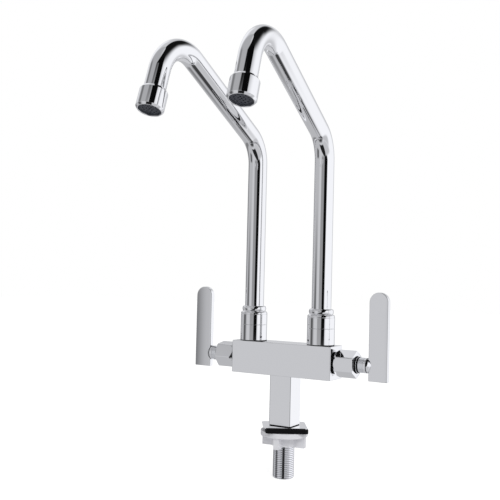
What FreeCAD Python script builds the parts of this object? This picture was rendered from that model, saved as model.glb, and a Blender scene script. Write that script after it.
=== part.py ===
import FreeCAD, Part

# Deck-mounted pillar tap with two swivel spouts and two quarter-turn levers.
# Frame: origin at the centre of the column's base, +Z up, +X along the bar to
# the right-hand lever, -Y towards the person who uses the tap. Millimetres.

import math
import os
import Sketcher
from FreeCAD import Placement, Rotation, Vector

SIZES = (
    ("column_width", 23.8, "column across the front"),
    ("column_depth", 21.2, "column, front to back"),
    ("column_height", 49.0, "base of the column to the underside of the bar"),
    ("bar_length", 109.0, "bar, end to end"),
    ("bar_depth", 27.0, "bar, front to back"),
    ("bar_height", 32.0, "bar, underside to top"),
    ("body_round", 0.6, "rounding of the body's outer edges"),
    ("spout_spacing", 75.2, "between the two spout axes"),
    ("inlet_bore", 11.0, "waterway up the column"),
    ("gallery_bore", 9.0, "waterway between the two valve chambers"),
    ("port_bore", 10.0, "waterway from a valve chamber to its spout"),
    ("chamber_bore", 17.0, "valve chamber in each end of the bar"),
    ("chamber_depth", 26.0, "valve chamber, bar end to valve seat"),
    ("socket_thread", 17.0, "threaded hole for a spout socket"),
    ("socket_thread_depth", 6.0, "depth of that hole"),
    ("thread_gap", 0.1, "radial clearance of a screwed joint"),
    ("running_gap", 0.1, "radial clearance of a turning joint"),
    ("brazed_gap", 0.03, "radial gap filled by braze or adhesive"),
    ("loose_gap", 0.3, "clearance between parts that turn past each other"),
    ("disc_gap", 0.05, "axial gap between the two ceramic discs"),
    ("shank_diameter", 20.955, "G 1/2 threaded shank, major diameter"),
    ("shank_length", 51.0, "shank below the column"),
    ("shank_bore", 13.0, "inlet in the shank"),
    ("shank_chamfer", 1.0, "chamfer at the lower end of the shank"),
    ("neck_relief", 0.3, "radial relief of the shank inside plate, washer and nut"),
    ("neck_margin", 0.5, "full thread starts this far below the back nut"),
    ("shank_spigot", 18.0, "shank's spigot inside the column"),
    ("shank_spigot_length", 12.0, "length of that spigot"),
    ("plate_width", 43.0, "base plate across"),
    ("plate_depth", 36.0, "base plate, front to back"),
    ("plate_thickness", 1.0, "base plate"),
    ("plate_corner", 3.0, "base plate's corner radius"),
    ("plate_turn", 32.3, "turn of plate and washer on the shank, degrees"),
    ("washer_width", 41.4, "rubber washer across"),
    ("washer_thickness", 4.0, "rubber washer"),
    ("washer_corner", 3.0, "rubber washer's corner radius"),
    ("washer_hole", 24.0, "hole in the rubber washer"),
    ("washer_shift", 1.4, "the loose washer lies this far off the shank's axis"),
    ("flange_diameter", 46.5, "back nut's flange"),
    ("flange_thickness", 4.8, "back nut's flange"),
    ("nut_hub", 25.0, "back nut's hub"),
    ("nut_height", 15.5, "back nut, flange face to wing tips"),
    ("hub_setback", 1.0, "hub ends this far above the wing tips"),
    ("wing_span", 44.0, "back nut across its wings"),
    ("wing_thickness", 5.5, "one wing of the back nut"),
    ("nut_turn", 7.3, "turn of the back nut on the shank, degrees"),
    ("bonnet_spigot", 7.5, "bonnet's threaded spigot inside the bar"),
    ("gasket_diameter", 22.0, "black gasket between bar and bonnet"),
    ("gasket_thickness", 1.7, "that gasket"),
    ("hex_flats", 23.2, "bonnet across flats"),
    ("hex_length", 19.5, "bonnet's hexagon"),
    ("hex_chamfer", 3.0, "length of the turned chamfer at the hexagon's inner end"),
    ("hex_face", 22.8, "diameter of the hexagon's inner end face"),
    ("hex_bevel", 0.5, "small bevel at the hexagon's outer end"),
    ("left_hex_turn", 20.0, "turn of the left bonnet's hexagon, degrees"),
    ("right_hex_turn", 0.0, "turn of the right bonnet's hexagon, degrees"),
    ("nose_length", 0.4, "bonnet's flat nose cone"),
    ("nose_diameter", 19.0, "bonnet's nose at its end"),
    ("nose_recess", 16.4, "recess in the bonnet's nose"),
    ("nose_recess_depth", 1.6, "depth of that recess"),
    ("dust_ring_bore", 11.0, "rubber ring in the recess, inside"),
    ("dust_lip_diameter", 15.2, "lip of the rubber ring, outside the recess"),
    ("dust_lip_length", 3.6, "lip of the rubber ring, beyond the bonnet's nose"),
    ("spindle_diameter", 8.0, "valve spindle"),
    ("collar_diameter", 11.0, "spindle's retaining collar"),
    ("collar_width", 2.0, "spindle's retaining collar"),
    ("spindle_entry", 5.3, "length of spindle inside the lever's boss"),
    ("seal_groove_depth", 1.1, "groove for the spindle's seal"),
    ("seal_groove_width", 1.6, "groove for the spindle's seal"),
    ("seal_groove_place", 6.0, "groove, beyond the bar's end"),
    ("spindle_seal_section", 1.16, "spindle seal, thickness"),
    ("tongue_width", 3.0, "tongue that drives the moving disc"),
    ("tongue_length", 7.4, "tongue across the spindle"),
    ("tongue_height", 1.1, "tongue into the disc"),
    ("tongue_gap", 0.1, "clearance round the tongue in its slot"),
    ("cage_diameter", 15.4, "cartridge cage, outside"),
    ("cage_bore", 13.4, "cartridge cage, inside"),
    ("window_width", 7.0, "side window of the cage"),
    ("window_height", 4.6, "side window of the cage"),
    ("disc_diameter", 13.1, "ceramic discs"),
    ("disc_thickness", 3.0, "each ceramic disc"),
    ("disc_port", 3.4, "water port in a ceramic disc"),
    ("disc_port_radius", 4.4, "port centre from the valve axis"),
    ("seat_seal_height", 4.5, "rubber seal between seat and fixed disc"),
    ("seat_seal_bore", 9.2, "that seal, inside"),
    ("sleeve_diameter", 14.4, "grey sleeve between bonnet and lever"),
    ("sleeve_length", 4.1, "grey sleeve"),
    ("boss_diameter", 14.4, "lever's boss"),
    ("boss_length", 3.4, "lever's boss up to its dome"),
    ("dome_height", 4.0, "domed end of the boss"),
    ("blade_inset", 4.1, "blade's inner edge from the start of the boss"),
    ("blade_width", 18.6, "lever blade across"),
    ("blade_thickness", 5.4, "lever blade"),
    ("blade_above", 68.5, "top of the blade above the valve axis"),
    ("blade_below", 14.2, "foot of the blade below the valve axis"),
    ("blade_round", 0.5, "rounding of the blade's edges"),
    ("screw_diameter", 2.9, "grub screw at the back of the boss"),
    ("screw_length", 2.8, "grub screw"),
    ("screw_socket", 1.5, "grub screw's socket"),
    ("screw_place", 1.75, "grub screw from the start of the boss"),
    ("collar_outside", 27.0, "spout socket and ring nut"),
    ("socket_height", 16.1, "spout socket above the bar"),
    ("socket_floor", 2.0, "floor of the spout socket above the bar"),
    ("foot_bore", 21.0, "bore of the spout socket"),
    ("nut_bore", 22.6, "thread for the ring nut"),
    ("nut_bore_depth", 6.1, "length of that thread"),
    ("socket_port", 10.5, "waterway through the socket"),
    ("groove_line", 0.25, "fine line between socket and ring nut"),
    ("ring_nut_height", 12.9, "ring nut above the socket"),
    ("ring_nut_spigot", 5.5, "ring nut's spigot inside the socket"),
    ("shoulder_height", 2.7, "rounded shoulder of the ring nut"),
    ("shoulder_top", 24.4, "ring nut at its top"),
    ("cover_ring_outside", 24.2, "cover ring round the tube"),
    ("cover_ring_height", 5.3, "cover ring"),
    ("cover_ring_chamfer", 0.8, "cover ring's upper edge"),
    ("tube_diameter", 19.05, "spout tube, outside"),
    ("tube_wall", 1.2, "spout tube's wall"),
    ("foot_nose", 18.6, "nose of the spout's foot"),
    ("foot_nose_length", 4.3, "nose of the spout's foot"),
    ("foot_flange", 2.6, "flange of the spout's foot"),
    ("foot_cup_depth", 1.6, "how far the tube sits in its foot"),
    ("foot_waterway", 13.0, "bore of the spout's foot"),
    ("oring_groove_depth", 1.1, "groove for the spout's O-ring"),
    ("oring_groove_width", 2.4, "groove for the spout's O-ring"),
    ("oring_section", 2.2, "spout's O-ring, thickness"),
    ("slip_ring_height", 1.5, "slip ring between foot and ring nut"),
    ("spout_rise", 178.4, "top of the upright run above the bar"),
    ("bend_radius", 32.0, "lower bend, centre line"),
    ("bend_angle", 63.6, "lower bend, degrees from upright"),
    ("slope_length", 112.6, "sloping run"),
    ("crown_radius", 34.5, "upper bend, centre line"),
    ("outlet_tilt", 18.0, "outlet forward of straight down, degrees"),
    ("outlet_run", 17.0, "straight run before the aerator"),
    ("left_swing", 0.0, "left spout outward from straight ahead, degrees"),
    ("right_swing", 4.4, "right spout outward from straight ahead, degrees"),
    ("shell_diameter", 24.8, "aerator shell"),
    ("shell_length", 22.2, "aerator shell"),
    ("shell_shoulder", 2.5, "sloping shoulder of the shell"),
    ("shell_neck", 21.4, "shell at its upper edge"),
    ("shell_edge", 1.1, "bevel round the outlet"),
    ("shell_lip", 18.8, "opening of the outlet"),
    ("lip_thickness", 1.3, "lip of the outlet"),
    ("shell_entry_gap", 0.2, "clearance of the shell round the tube"),
    ("nozzle_diameter", 21.6, "threaded nozzle on the tube's end"),
    ("nozzle_length", 6.0, "threaded nozzle"),
    ("nozzle_end", 9.0, "tube and nozzle end this far inside the shell"),
    ("insert_start", 12.0, "aerator insert from the shell's upper edge"),
    ("insert_diameter", 20.3, "aerator insert"),
    ("insert_bore", 17.8, "aerator insert, inside"),
    ("insert_gap", 0.1, "clearance of the insert in the shell"),
    ("mesh_thickness", 0.8, "mesh disc in the outlet"),
    ("mesh_recess", 0.4, "mesh disc above the insert's end"),
    ("mesh_hole", 1.5, "hole of the mesh disc"),
    ("mesh_inner_ring", 2.9, "radius of the inner ring of holes"),
    ("mesh_outer_ring", 6.2, "radius of the outer ring of holes"),
)


class Size:
    """A length or an angle with its number and the sheet formula behind it."""

    def __init__(self, number, formula):
        self.number = number
        self.formula = formula

    def joined(self, other, sign, number):
        return Size(number, "(%s %s %s)" % (self.formula, sign, other.formula))

    def __add__(self, other):
        other = as_size(other)
        return self.joined(other, "+", self.number + other.number)

    def __radd__(self, other):
        return as_size(other) + self

    def __sub__(self, other):
        other = as_size(other)
        return self.joined(other, "-", self.number - other.number)

    def __rsub__(self, other):
        return as_size(other) - self

    def __mul__(self, other):
        other = as_size(other)
        return self.joined(other, "*", self.number * other.number)

    def __rmul__(self, other):
        return as_size(other) * self

    def __truediv__(self, other):
        other = as_size(other)
        return self.joined(other, "/", self.number / other.number)

    def __neg__(self):
        return as_size(0.0) - self


def as_size(value):
    if isinstance(value, Size):
        return value
    return Size(float(value), repr(float(value)))


def sine(angle):
    return Size(math.sin(math.radians(angle.number)), "sin(%s)" % angle.formula)


def cosine(angle):
    return Size(math.cos(math.radians(angle.number)), "cos(%s)" % angle.formula)


class Sheet:
    """The driving dimensions, one attribute for each cell."""

    def __init__(self, doc):
        sheet = doc.addObject("Spreadsheet::Sheet", "sizes")
        for row, (name, number, note) in enumerate(SIZES, start=1):
            sheet.set("A%d" % row, name)
            sheet.set("B%d" % row, str(number))
            sheet.set("C%d" % row, note)
            sheet.setAlias("B%d" % row, name)
            setattr(self, name, Size(float(number), "sizes." + name))


doc = FreeCAD.newDocument("pillar_tap")
s = Sheet(doc)
doc.recompute()
pieces = []

# Heights and reaches that several pieces share.
bar_top = s.column_height + s.bar_height
valve_height = s.column_height + s.bar_height / 2
bar_end = s.bar_length / 2
spindle_radius = s.spindle_diameter / 2
tube_radius = s.tube_diameter / 2
washer_top = -s.plate_thickness
nut_top = washer_top - s.washer_thickness
# Along a valve axis, from the bar's end outward.
hex_start = s.gasket_thickness
hex_end = hex_start + s.hex_length
nose_end = hex_end + s.nose_length
lip_end = nose_end + s.dust_lip_length
sleeve_start = lip_end + s.loose_gap
boss_start = sleeve_start + s.sleeve_length
spindle_end = boss_start + s.spindle_entry
# Inward along it, from the valve seat.
seat = -s.chamber_depth
fixed_disc_start = seat + s.seat_seal_height
moving_disc_start = fixed_disc_start + s.disc_thickness + s.disc_gap
moving_disc_end = moving_disc_start + s.disc_thickness
# Along a spout axis, from the bar's top upward.
foot_start = s.socket_floor + s.loose_gap
flange_start = foot_start + s.foot_nose_length
foot_end = flange_start + s.foot_flange
tube_start = foot_end - s.foot_cup_depth
slip_start = foot_end + s.disc_gap
slip_end = slip_start + s.slip_ring_height
ring_nut_start = s.socket_height + s.groove_line
ring_nut_foot = ring_nut_start - s.ring_nut_spigot
ring_nut_top = ring_nut_start + s.ring_nut_height
cover_start = ring_nut_top + s.loose_gap


def new_body(label):
    """An empty body that will be written out under its label."""
    body = doc.addObject("PartDesign::Body", label)
    body.Label = label
    pieces.append(body)
    return body


def new_sketch(body, name, plane, lift=None):
    """A sketch on one of the body's own planes, raised by lift."""
    sketch = body.newObject("Sketcher::SketchObject", body.Label + "_" + name)
    base = [item for item in body.Origin.OriginFeatures if item.Role == plane][0]
    sketch.AttachmentSupport = [(base, "")]
    sketch.MapMode = "FlatFace"
    if lift is not None:
        sketch.AttachmentOffset = Placement(Vector(0, 0, lift.number), Rotation())
        sketch.setExpression("AttachmentOffset.Base.z", lift.formula)
    return sketch


def hold_point(sketch, geometry, end, x, y):
    """Tie one end of a line or arc, or a centre, to the sheet."""
    for size, kind, axis in ((x, "DistanceX", -2), (y, "DistanceY", -1)):
        if size.formula == "0.0":
            sketch.addConstraint(Sketcher.Constraint("PointOnObject", geometry, end, axis))
            continue
        place = sketch.addConstraint(
            Sketcher.Constraint(kind, -1, 1, geometry, end, size.number))
        sketch.setExpression("Constraints[%d]" % place, size.formula)


def hold_value(sketch, constraint, formula):
    place = sketch.addConstraint(constraint)
    sketch.setExpression("Constraints[%d]" % place, formula)


def draw_outline(sketch, corners):
    """A closed outline of straight lines with every corner tied to the sheet."""
    corners = [(as_size(x), as_size(y)) for x, y in corners]
    spots = [Vector(x.number, y.number, 0) for x, y in corners]
    first = sketch.GeometryCount
    count = len(spots)
    for here, spot in enumerate(spots):
        sketch.addGeometry(Part.LineSegment(spot, spots[(here + 1) % count]))
    for here in range(count):
        after = first + (here + 1) % count
        sketch.addConstraint(Sketcher.Constraint("Coincident", first + here, 2, after, 1))
    for here, (x, y) in enumerate(corners):
        hold_point(sketch, first + here, 1, x, y)


def draw_circle(sketch, x, y, radius):
    x, y, radius = as_size(x), as_size(y), as_size(radius)
    centre = Vector(x.number, y.number, 0)
    circle = sketch.addGeometry(Part.Circle(centre, Vector(0, 0, 1), radius.number))
    hold_point(sketch, circle, 3, x, y)
    hold_value(sketch, Sketcher.Constraint("Radius", circle, radius.number), radius.formula)


def draw_hexagon(sketch, flats):
    """A hexagon with two flats square to the sketch's Y axis."""
    reach = flats / (2 * math.cos(math.pi / 6))
    turns = [math.radians(60 * k) for k in range(6)]
    draw_outline(sketch, [(reach * math.cos(t), reach * math.sin(t)) for t in turns])


def draw_plate(sketch, width, depth, corner):
    """A rectangle with rounded corners about the origin."""
    side = width / 2
    end = depth / 2
    quarters = ((1, 1, 0), (-1, 1, 90), (-1, -1, 180), (1, -1, 270))
    arcs = []
    for sx, sy, start in quarters:
        centre = Vector(sx * (side - corner).number, sy * (end - corner).number, 0)
        circle = Part.Circle(centre, Vector(0, 0, 1), corner.number)
        span = math.radians(start), math.radians(start + 90)
        arc = sketch.addGeometry(Part.ArcOfCircle(circle, *span))
        hold_point(sketch, arc, 3, (side - corner) * sx, (end - corner) * sy)
        arcs.append(arc)
    for here, arc in enumerate(arcs):
        after = arcs[(here + 1) % 4]
        line = Part.LineSegment(end_of(sketch, arc), start_of(sketch, after))
        edge = sketch.addGeometry(line)
        sketch.addConstraint(Sketcher.Constraint("Tangent", arc, 2, edge, 1))
        sketch.addConstraint(Sketcher.Constraint("Tangent", edge, 2, after, 1))
    radius = Sketcher.Constraint("Radius", arcs[0], corner.number)
    hold_value(sketch, radius, corner.formula)


def start_of(sketch, arc):
    return sketch.getPoint(arc, 1)


def end_of(sketch, arc):
    return sketch.getPoint(arc, 2)


def add_pad(body, sketch, length, both_ways=False, reverse=False):
    pad = body.newObject("PartDesign::Pad", sketch.Label + "_pad")
    pad.Profile = sketch
    pad.Length = length.number
    pad.setExpression("Length", length.formula)
    pad.Reversed = reverse
    if both_ways:
        pad.SideType = "Symmetric"
    return pad


def add_cut(body, sketch, length, both_ways=False, reverse=False):
    """A pocket that is checked to have taken something away."""
    before = body.Tip
    pocket = body.newObject("PartDesign::Pocket", sketch.Label + "_cut")
    pocket.Profile = sketch
    pocket.Length = length.number
    pocket.setExpression("Length", length.formula)
    pocket.Reversed = reverse
    if both_ways:
        pocket.SideType = "Symmetric"
    doc.recompute()
    if not pocket.Shape.Volume < before.Shape.Volume - 0.01:
        raise RuntimeError(pocket.Label + " cuts nothing")
    return pocket


def add_ring_of(body, feature, count):
    """Repeat a feature round the body's Z axis."""
    pattern = body.newObject("PartDesign::PolarPattern", feature.Label + "_ring")
    pattern.Originals = [feature]
    pattern.Axis = (feature.Profile[0], ["N_Axis"])
    pattern.Angle = 360
    pattern.Occurrences = count
    body.Tip = pattern
    doc.recompute()
    return pattern


def turn_profile(body, name, corners):
    """Revolve an outline of (radius, height) corners round the Z axis."""
    sketch = new_sketch(body, name, "XZ_Plane")
    draw_outline(sketch, corners)
    turned = body.newObject("PartDesign::Revolution", sketch.Label + "_turned")
    turned.Profile = sketch
    turned.ReferenceAxis = (sketch, ["V_Axis"])
    turned.Angle = 360
    return turned


def turned_piece(label, corners):
    body = new_body(label)
    turn_profile(body, "profile", corners)
    return body


def ring_piece(label, inner, outer, low, high):
    return turned_piece(label, [(inner, low), (outer, low), (outer, high), (inner, high)])


def rubber_ring(label, middle, section, height):
    """A ring of round section, its middle circle at the given height."""
    body = new_body(label)
    sketch = new_sketch(body, "section", "XZ_Plane")
    draw_circle(sketch, middle, height, section / 2)
    turned = body.newObject("PartDesign::Revolution", label + "_turned")
    turned.Profile = sketch
    turned.ReferenceAxis = (sketch, ["V_Axis"])
    turned.Angle = 360
    return body


def place(body, x, y, z, turns):
    """Put a body at a point, turned by (axis, angle) steps, all tied to the sheet."""
    axes = {"x": "vector(1; 0; 0)", "y": "vector(0; 1; 0)", "z": "vector(0; 0; 1)"}
    steps = ["rotation(%s; %s)" % (axes[axis], as_size(angle).formula) for axis, angle in turns]
    spot = "; ".join(as_size(value).formula for value in (x, y, z))
    body.setExpression("Placement", "placement(vector(%s); %s)" % (spot, " * ".join(steps)))


def place_on_valve(body, side, turn=0.0):
    """Local Z runs outward along a valve axis from the bar's end."""
    place(body, bar_end * side, 0.0, valve_height, [("y", 90.0 * side), ("z", turn)])


def place_on_spout(body, side, turn=0.0):
    """Local Z runs up a spout axis from the bar's top."""
    place(body, s.spout_spacing / 2 * side, 0.0, bar_top, [("z", turn)])


def make_tap_body():
    """T-shaped casting with the waterway, the valve chambers and the spout holes."""
    body = new_body("tap_body")
    column = new_sketch(body, "column", "XZ_Plane")
    half = s.column_width / 2
    draw_outline(column, [
        (-half, 0.0), (half, 0.0), (half, valve_height), (-half, valve_height)])
    add_pad(body, column, s.column_depth, both_ways=True)
    bar = new_sketch(body, "bar", "XZ_Plane")
    low = s.column_height
    draw_outline(bar, [
        (-bar_end, low), (bar_end, low), (bar_end, bar_top), (-bar_end, bar_top)])
    blank = add_pad(body, bar, s.bar_depth, both_ways=True)
    edges = body.newObject("PartDesign::Fillet", "tap_body_edges")
    edges.Base = (blank, [""])
    edges.UseAllEdges = True
    edges.Radius = s.body_round.number
    edges.setExpression("Radius", s.body_round.formula)
    doc.recompute()

    inlet = new_sketch(body, "inlet", "XY_Plane")
    draw_circle(inlet, 0.0, 0.0, s.inlet_bore / 2)
    add_cut(body, inlet, valve_height, reverse=True)
    spigot_hole = new_sketch(body, "spigot_hole", "XY_Plane")
    draw_circle(spigot_hole, 0.0, 0.0, s.shank_spigot / 2 + s.thread_gap)
    add_cut(body, spigot_hole, s.shank_spigot_length + s.loose_gap, reverse=True)
    gallery = new_sketch(body, "gallery", "YZ_Plane")
    draw_circle(gallery, 0.0, valve_height, s.gallery_bore / 2)
    add_cut(body, gallery, s.bar_length - s.chamber_depth * 2 + s.port_bore, both_ways=True)
    for side, name in ((-1, "left"), (1, "right")):
        chamber = new_sketch(body, name + "_chamber", "YZ_Plane", bar_end * side)
        draw_circle(chamber, 0.0, valve_height, s.chamber_bore / 2)
        add_cut(body, chamber, s.chamber_depth, reverse=side < 0)
        hole = new_sketch(body, name + "_spout_hole", "XY_Plane", bar_top)
        draw_circle(hole, s.spout_spacing / 2 * side, 0.0, s.socket_thread / 2)
        add_cut(body, hole, s.socket_thread_depth)
        port = new_sketch(body, name + "_port", "XY_Plane", bar_top)
        draw_circle(port, s.spout_spacing / 2 * side, 0.0, s.port_bore / 2)
        add_cut(body, port, s.bar_height / 2)


def make_threaded_shank():
    outer = s.shank_diameter / 2
    bore = s.shank_bore / 2
    spigot = s.shank_spigot / 2
    foot = -s.shank_length
    neck = outer - s.neck_relief
    neck_foot = nut_top - s.nut_height - s.neck_margin
    turned_piece("threaded_shank", [
        (bore, foot), (outer - s.shank_chamfer, foot), (outer, foot + s.shank_chamfer),
        (outer, neck_foot), (neck, neck_foot), (neck, 0.0), (spigot, 0.0),
        (spigot, s.shank_spigot_length), (bore, s.shank_spigot_length)])


def make_plate(label, width, depth, corner, top, thickness, bore, shift):
    """A flat plate with rounded corners round the shank, under a given height."""
    body = new_body(label)
    outline = new_sketch(body, "outline", "XY_Plane", top)
    draw_plate(outline, width, depth, corner)
    add_pad(body, outline, thickness, reverse=True)
    hole = new_sketch(body, "hole", "XY_Plane", top)
    draw_circle(hole, 0.0, 0.0, bore)
    doc.recompute()
    add_cut(body, hole, thickness)
    turn = s.plate_turn
    place(body, shift * cosine(turn), shift * sine(turn), 0.0, [("z", turn)])


def make_back_nut():
    """Plastic nut with a round flange, a hub and four wings."""
    body = new_body("back_nut")
    bore = s.shank_diameter / 2 + s.thread_gap
    hub = s.nut_hub / 2
    rim = s.flange_diameter / 2
    under = nut_top - s.flange_thickness
    tip = nut_top - s.nut_height
    turn_profile(body, "profile", [
        (bore, nut_top), (rim, nut_top), (rim, under), (hub, under),
        (hub, tip + s.hub_setback), (bore, tip + s.hub_setback)])
    wing = new_sketch(body, "wing", "XY_Plane", under)
    edge = s.wing_thickness / 2
    inside = (bore + hub) / 2
    draw_outline(wing, [
        (inside, -edge), (s.wing_span / 2, -edge), (s.wing_span / 2, edge), (inside, edge)])
    pad = add_pad(body, wing, s.nut_height - s.flange_thickness, reverse=True)
    doc.recompute()
    add_ring_of(body, pad, 4)
    place(body, 0.0, 0.0, 0.0, [("z", s.nut_turn)])


def make_bonnet(name, side, turn):
    """Chromed hexagon bonnet with a spigot in the bar and a recessed nose."""
    body = new_body(name + "_bonnet")
    bore = spindle_radius + s.running_gap
    spigot = s.chamber_bore / 2 - s.thread_gap
    reach = s.hex_flats / (2 * math.cos(math.pi / 6))
    face = s.hex_face / 2
    nose = s.nose_diameter / 2
    recess = s.nose_recess / 2
    recess_floor = nose_end - s.nose_recess_depth
    turn_profile(body, "profile", [
        (bore, -s.bonnet_spigot), (spigot, -s.bonnet_spigot), (spigot, hex_start),
        (face, hex_start), (reach, hex_start + s.hex_chamfer),
        (reach, hex_end - s.hex_bevel), (reach - s.hex_bevel, hex_end), (nose, nose_end),
        (recess, nose_end), (recess, recess_floor), (bore, recess_floor)])
    doc.recompute()
    flats = new_sketch(body, "flats", "XY_Plane")
    draw_hexagon(flats, s.hex_flats)
    draw_circle(flats, 0.0, 0.0, s.hex_flats)
    add_cut(body, flats, nose_end * 2, both_ways=True)
    place_on_valve(body, side, turn)


def make_rings_on_valve(name, side):
    """The black gasket, the dust ring, the seat seal and the spindle seal."""
    neck = s.chamber_bore / 2
    gasket = ring_piece(name + "_bonnet_gasket", neck, s.gasket_diameter / 2, 0.0, hex_start)
    recess_floor = nose_end - s.nose_recess_depth
    dust = new_body(name + "_dust_ring")
    dust_bore = s.dust_ring_bore / 2
    dust_seat = s.nose_recess / 2 - s.disc_gap
    lip = s.dust_lip_diameter / 2
    turn_profile(dust, "profile", [
        (dust_bore, recess_floor), (dust_seat, recess_floor), (dust_seat, nose_end),
        (lip, nose_end), (lip, lip_end), (dust_bore, lip_end)])
    seat_seal = ring_piece(
        name + "_seat_seal", s.seat_seal_bore / 2, s.disc_diameter / 2, seat, fixed_disc_start)
    groove = spindle_radius - s.seal_groove_depth
    middle = groove + s.spindle_seal_section / 2 + s.disc_gap / 2
    height = s.seal_groove_place + s.seal_groove_width / 2
    seal = rubber_ring(name + "_spindle_seal", middle, s.spindle_seal_section, height)
    for ring in (gasket, dust, seat_seal, seal):
        place_on_valve(ring, side)


def make_cage(name, side):
    """Thin tube that holds the discs, with two side windows for the water."""
    body = ring_piece(
        name + "_cartridge_cage", s.cage_bore / 2, s.cage_diameter / 2,
        fixed_disc_start, -s.bonnet_spigot)
    window = new_sketch(body, "window", "XZ_Plane")
    edge = s.window_width / 2
    low = -s.bonnet_spigot - s.disc_thickness / 2 - s.window_height
    draw_outline(window, [
        (-edge, low), (edge, low), (edge, low + s.window_height), (-edge, low + s.window_height)])
    doc.recompute()
    add_cut(body, window, s.cage_diameter * 2, both_ways=True)
    place_on_valve(body, side)


def add_disc_ports(body, along, low):
    """Two water ports through a disc, opposite each other."""
    ports = new_sketch(body, "ports", "XY_Plane", low + s.disc_thickness)
    for way in (-1, 1):
        reach = s.disc_port_radius * way
        spot = (reach, 0.0) if along == "x" else (0.0, reach)
        draw_circle(ports, spot[0], spot[1], s.disc_port / 2)
    doc.recompute()
    add_cut(body, ports, s.disc_thickness)


def make_discs(name, side):
    """Ceramic discs: at rest the ports are crossed, so the valve is shut."""
    outer = s.disc_diameter / 2
    fixed = new_body(name + "_fixed_disc")
    turn_profile(fixed, "profile", [
        (0.0, fixed_disc_start), (outer, fixed_disc_start),
        (outer, fixed_disc_start + s.disc_thickness),
        (0.0, fixed_disc_start + s.disc_thickness)])
    add_disc_ports(fixed, "x", fixed_disc_start)
    place_on_valve(fixed, side)
    moving = new_body(name + "_moving_disc")
    turn_profile(moving, "profile", [
        (0.0, moving_disc_start), (outer, moving_disc_start),
        (outer, moving_disc_end), (0.0, moving_disc_end)])
    add_disc_ports(moving, "y", moving_disc_start)
    slot = new_sketch(moving, "slot", "XY_Plane", moving_disc_end)
    long_way = s.tongue_length / 2 + s.tongue_gap
    short_way = s.tongue_width / 2 + s.tongue_gap
    draw_outline(slot, [
        (-long_way, -short_way), (long_way, -short_way),
        (long_way, short_way), (-long_way, short_way)])
    add_cut(moving, slot, s.tongue_height + s.tongue_gap)
    place_on_valve(moving, side)


def make_spindle(name, side):
    """Spindle with a driving tongue, a retaining collar and a seal groove."""
    body = new_body(name + "_spindle")
    low = moving_disc_end + s.disc_gap
    collar_top = -s.bonnet_spigot - s.disc_gap
    collar_foot = collar_top - s.collar_width
    collar = s.collar_diameter / 2
    groove = spindle_radius - s.seal_groove_depth
    groove_low = s.seal_groove_place
    groove_high = groove_low + s.seal_groove_width
    turn_profile(body, "profile", [
        (0.0, low), (spindle_radius, low), (spindle_radius, collar_foot),
        (collar, collar_foot), (collar, collar_top), (spindle_radius, collar_top),
        (spindle_radius, groove_low), (groove, groove_low), (groove, groove_high),
        (spindle_radius, groove_high), (spindle_radius, spindle_end), (0.0, spindle_end)])
    tongue = new_sketch(body, "tongue", "XY_Plane", low)
    long_way = s.tongue_length / 2
    short_way = s.tongue_width / 2
    draw_outline(tongue, [
        (-long_way, -short_way), (long_way, -short_way),
        (long_way, short_way), (-long_way, short_way)])
    add_pad(body, tongue, s.tongue_height, reverse=True)
    place_on_valve(body, side)


def make_sleeve(name, side):
    sleeve = ring_piece(
        name + "_lever_sleeve", spindle_radius + s.brazed_gap, s.sleeve_diameter / 2,
        sleeve_start, boss_start)
    place_on_valve(sleeve, side)


def draw_boss(sketch, start, radius, length, dome):
    """Half section of the boss with its domed end, above the sketch's X axis."""
    shoulder = start + length
    tip = shoulder + dome
    ball = (radius.number ** 2 + dome.number ** 2) / (2 * dome.number)
    spots = (
        (start, as_size(0.0)), (start, radius), (shoulder, radius), (tip, as_size(0.0)))
    points = [Vector(x.number, y.number, 0) for x, y in spots]
    side = sketch.addGeometry(Part.LineSegment(points[0], points[1]))
    top = sketch.addGeometry(Part.LineSegment(points[1], points[2]))
    centre = Vector(tip.number - ball, 0, 0)
    lean = math.asin(radius.number / ball)
    circle = Part.Circle(centre, Vector(0, 0, 1), ball)
    cap = sketch.addGeometry(Part.ArcOfCircle(circle, 0.0, lean))
    base = sketch.addGeometry(Part.LineSegment(points[3], points[0]))
    sketch.addConstraint(Sketcher.Constraint("Coincident", side, 2, top, 1))
    sketch.addConstraint(Sketcher.Constraint("Coincident", top, 2, cap, 2))
    sketch.addConstraint(Sketcher.Constraint("Coincident", cap, 1, base, 1))
    sketch.addConstraint(Sketcher.Constraint("Coincident", base, 2, side, 1))
    sketch.addConstraint(Sketcher.Constraint("PointOnObject", cap, 3, -1))
    hold_point(sketch, side, 1, *spots[0])
    hold_point(sketch, top, 1, *spots[1])
    hold_point(sketch, cap, 2, *spots[2])
    hold_point(sketch, base, 1, *spots[3])


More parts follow.
